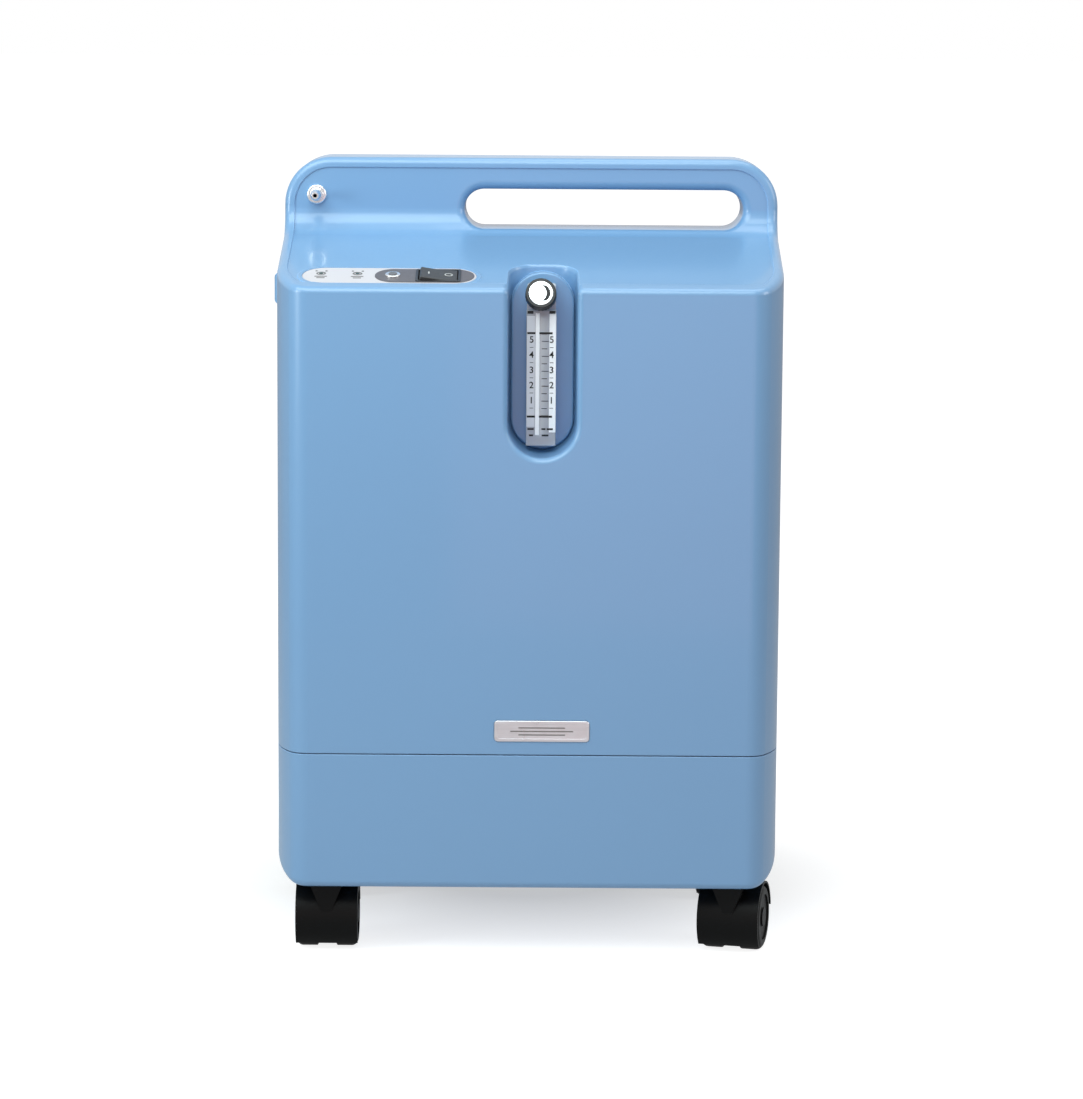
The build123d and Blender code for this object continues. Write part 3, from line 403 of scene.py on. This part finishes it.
def crescent(bm):
    """Dark crescent at the right of the cap: two arcs with different centres."""
    outer = ring_points(6.9 * MM, 24, (0, 0), -1.0, 1.0)
    inner = ring_points(6.6 * MM, 24, (-2.6 * MM, 0), -1.08, 1.08)
    add_band(bm, band_points(outer, inner), 0.12 * MM)


print_piece("knob_crescent", frame_matrix(cap_face, (1, 0, 0), knob_axis), crescent, "print_black", "knob")

# ------------------------------------------------------------------ control panel marks
SLOPE = math.radians(15)
panel_up = Vector((0, -math.sin(SLOPE), math.cos(SLOPE)))
panel_across = Vector((0, math.cos(SLOPE), math.sin(SLOPE)))
lens_low, lens_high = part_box("indicator_lenses")
LENS_UP = 0.6 * MM
LENS_R = 1.5 * MM
LENS_LENGTH = 4.2 * MM
BEZEL_UP = 0.3 * MM
lens_back_y = lens_high.y - LENS_R * math.cos(SLOPE)
lens_top = Vector((0, lens_back_y - LENS_LENGTH * math.sin(SLOPE), lens_high.z - LENS_R * math.sin(SLOPE)))
lens_x = (lens_low.x + LENS_R, lens_high.x - LENS_R)
label_origin = lens_top - panel_up * (LENS_UP - BEZEL_UP)


def on_label(x, across, lift=0.0):
    """Frame on the label: x in the row frame, across the slope from the lamps."""
    origin = Vector((x, 0, 0)) + label_origin + panel_across * across + panel_up * lift
    return frame_matrix(origin, (1, 0, 0), panel_up)


def lamp_icon(bm):
    """Pictogram around a lamp: a ring, a foot bar and two short rays."""
    ring = band_points(ring_points(3.6 * MM), ring_points(2.2 * MM))
    add_band(bm, ring[:-1], 0.06 * MM, closed=True)
    for y, width in ((-6.4, 9.0), (-9.6, 6.0)):
        add_prism(bm, bar_points(0, y * MM, width * MM, 1.8 * MM), 0.06 * MM)
    for side in (-1, 1):
        add_prism(bm, bar_points(side * 3.6 * MM, 5.4 * MM, 1.6 * MM, 2.2 * MM), 0.06 * MM)


for i, x in enumerate(lens_x):
    print_piece(f"label_icon_{i + 1}", on_label(x, 0), lamp_icon, "print_grey", "cabinet")

# ------------------------------------------------------------------ rocker marks
rocker_low, rocker_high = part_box("switch_rocker")
ROCKER_TILT = math.radians(6)
ROCKER_DISH = math.radians(2.6)
ROCKER_HEIGHT = 4.9 * MM
rocker_x = (rocker_low.x + rocker_high.x) / 2
LAMP_ACROSS = 4.5 * MM
PIVOT_DEPTH = 3.3 * MM
pivot_origin = label_origin - panel_across * LAMP_ACROSS - panel_up * PIVOT_DEPTH


def on_rocker(x, lift=0.0):
    """Frame on the rocker's dished top at x from its pivot, before it is tipped."""
    tip = Matrix.Rotation(ROCKER_TILT + math.copysign(ROCKER_DISH, -x), 4, "Y")
    height = ROCKER_HEIGHT + abs(x) * math.tan(ROCKER_DISH)
    spot = Matrix.Rotation(ROCKER_TILT, 4, "Y") @ Vector((x, 0, height + lift))
    slope = frame_matrix(Vector((rocker_x, 0, 0)) + pivot_origin, (1, 0, 0), panel_up)
    return slope @ Matrix.Translation(spot) @ tip


def on_mark(bm):
    """Bar at the rocker's raised end."""
    add_prism(bm, bar_points(0, 0, 1.0 * MM, 4.6 * MM), PRINT_THICK)


def off_mark(bm):
    """Ring at the rocker's low end."""
    ring = band_points(ring_points(3.0 * MM), ring_points(2.2 * MM))
    add_band(bm, ring[:-1], PRINT_THICK, closed=True)


print_piece("rocker_mark_on", on_rocker(-7.4 * MM), on_mark, "print_light", "rocker")
print_piece("rocker_mark_off", on_rocker(7.0 * MM), off_mark, "print_light", "rocker")

# ------------------------------------------------------------------ badge
badge_low, badge_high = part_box("badge")
badge_middle = (badge_low + badge_high) / 2


def badge_relief(bm):
    """Plain raised lines that taper towards the ends of the badge."""
    for i, width in enumerate((34, 46, 34)):
        add_prism(bm, bar_points(0, (i - 1) * 2.6 * MM, width * MM, 0.9 * MM), 0.12 * MM)


BADGE_GROOVE = 0.38 * MM
badge_face = Vector((badge_middle.x, badge_low.y + BADGE_GROOVE, badge_middle.z))
print_piece("badge_lines", frame_matrix(badge_face, (1, 0, 0), (0, -1, 0)), badge_relief, "print_grey",
            "cabinet")

# ------------------------------------------------------------------ hour meter
hours_low, hours_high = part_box("hour_meter")
hours_middle = (hours_low + hours_high) / 2
DIGIT_STEP = 4.6 * MM
WINDOW_DEPTH = 2.1 * MM
for i, digit in enumerate("01640"):
    spot = Vector((hours_middle.x + (2 - i) * DIGIT_STEP, hours_high.y - WINDOW_DEPTH, hours_middle.z))
    place = frame_matrix(spot, (-1, 0, 0), (0, 1, 0))
    text_piece(f"hour_digit_{i + 1}", digit, place, 4.6 * MM, "scale_white", "cabinet")


# ------------------------------------------------------------------ camera
def camera():
    """Camera in front of the cabinet, looking slightly down, with a slight roll."""
    azimuth, elevation, roll = 0.0, math.radians(8.2), math.radians(0.4)
    target = Vector((9.4, 0.0, 287.7)) * MM
    distance = 2920 * MM
    back = Vector((math.sin(azimuth) * math.cos(elevation), -math.cos(azimuth) * math.cos(elevation),
                   math.sin(elevation)))
    right = Vector((math.cos(azimuth), math.sin(azimuth), 0))
    up = back.cross(right)
    tilted_right = right * math.cos(roll) + up * math.sin(roll)
    tilted_up = up * math.cos(roll) - right * math.sin(roll)
    matrix = Matrix((tilted_right, tilted_up, back)).transposed().to_4x4()
    matrix.translation = target + back * distance
    data = bpy.data.cameras.new("camera")
    data.lens = 126.4
    data.sensor_width = 36.0
    data.clip_start = 0.05
    data.clip_end = 100.0
    obj = bpy.data.objects.new("camera", data)
    obj.matrix_world = matrix
    scene.collection.objects.link(obj)
    scene.camera = obj


camera()


# ------------------------------------------------------------------ stage and light
def area_light(name, place, target, size, power, colour, size_y=None):
    """A square or rectangular lamp at a place, facing a target."""
    data = bpy.data.lights.new(name, "AREA")
    data.energy = power
    data.color = colour
    data.size = size
    if size_y:
        data.shape = "RECTANGLE"
        data.size_y = size_y
    obj = bpy.data.objects.new(name, data)
    direction = Vector(target) - Vector(place)
    obj.rotation_euler = direction.to_track_quat("-Z", "Y").to_euler()
    obj.location = place
    scene.collection.objects.link(obj)


FLOOR_GREY = 0.45
SHADOW_Y = 0.14
SHADOW_SQUEEZE = 0.8
GLOW_LEVELS = (0.48, 1.0)
GLOW_DISTANCES = (0.06, 0.32)
BOUNCE = 0.28


def floor():
    """White floor: it glows softly, so that the shadow under the cabinet stays light and fades forwards."""
    mesh = bpy.data.meshes.new("floor")
    bm = bmesh.new()
    bmesh.ops.create_grid(bm, x_segments=1, y_segments=1, size=40.0)
    bm.to_mesh(mesh)
    bm.free()
    obj = bpy.data.objects.new("floor", mesh)
    scene.collection.objects.link(obj)
    m = Shader("floor")
    m.surface.inputs["Base Color"].default_value = (FLOOR_GREY, FLOOR_GREY, FLOOR_GREY, 1)
    m.surface.inputs["Roughness"].default_value = 0.9
    m.surface.inputs["Specular IOR Level"].default_value = 0.1
    mapping = m.add("ShaderNodeMapping")
    mapping.inputs["Location"].default_value = (0, -SHADOW_Y, 0)
    mapping.inputs["Scale"].default_value = (SHADOW_SQUEEZE, 1, 1)
    m.link(m.coords, mapping.inputs["Vector"])
    distance = m.add("ShaderNodeVectorMath", operation="LENGTH")
    m.link(mapping.outputs["Vector"], distance.inputs[0])
    glow = m.ramp(distance.outputs["Value"], *GLOW_LEVELS, *GLOW_DISTANCES)
    path = m.add("ShaderNodeLightPath")
    seen = m.add("ShaderNodeMapRange")
    m.link(path.outputs["Is Camera Ray"], seen.inputs["Value"])
    seen.inputs["To Min"].default_value = BOUNCE
    m.link(glow, seen.inputs["To Max"])
    m.surface.inputs["Emission Color"].default_value = (1, 1, 1, 1)
    m.link(seen.outputs["Result"], m.surface.inputs["Emission Strength"])
    obj.data.materials.append(m.material)


def studio_world(seen, light, gloss):
    """White surroundings: full strength where they are seen, less in gloss, least as soft light."""
    world = bpy.data.worlds.new("studio")
    world.use_nodes = True
    tree = world.node_tree
    near = tree.nodes["Background"]
    near.inputs["Color"].default_value = (1, 1, 1, 1)
    far = tree.nodes.new("ShaderNodeBackground")
    far.inputs["Strength"].default_value = seen
    far.inputs["Color"].default_value = (1, 1, 1, 1)
    path = tree.nodes.new("ShaderNodeLightPath")
    strength = tree.nodes.new("ShaderNodeMapRange")
    strength.inputs["To Min"].default_value = light
    strength.inputs["To Max"].default_value = gloss
    tree.links.new(path.outputs["Is Glossy Ray"], strength.inputs["Value"])
    tree.links.new(strength.outputs["Result"], near.inputs["Strength"])
    mix = tree.nodes.new("ShaderNodeMixShader")
    tree.links.new(path.outputs["Is Camera Ray"], mix.inputs[0])
    tree.links.new(near.outputs[0], mix.inputs[1])
    tree.links.new(far.outputs[0], mix.inputs[2])
    tree.links.new(mix.outputs[0], tree.nodes["World Output"].inputs["Surface"])
    scene.world = world


floor()
studio_world(seen=1.0, light=0.12, gloss=0.85)
area_light("key", place=(-0.40, -0.80, 1.36), target=(0, -0.05, 0.50), size=1.5, power=19,
           colour=(0.86, 0.99, 1.0), size_y=0.9)
area_light("top", place=(0.25, -0.06, 1.45), target=(0.10, -0.06, 0.50), size=0.7, power=4.2,
           colour=(0.92, 0.99, 1.0))
area_light("side", place=(-1.20, -0.80, 0.62), target=(0.05, -0.1, 0.44), size=0.4, power=6,
           colour=(0.94, 1.0, 1.0))
area_light("right", place=(1.20, -0.45, 0.90), target=(0.05, -0.05, 0.40), size=0.6, power=4.5,
           colour=(1.0, 0.98, 0.98))
area_light("fill", place=(0.3, -1.6, 0.10), target=(0, 0, 0.15), size=0.8, power=2.0,
           colour=(1.0, 0.40, 0.38))
scene.view_settings.view_transform = "Standard"
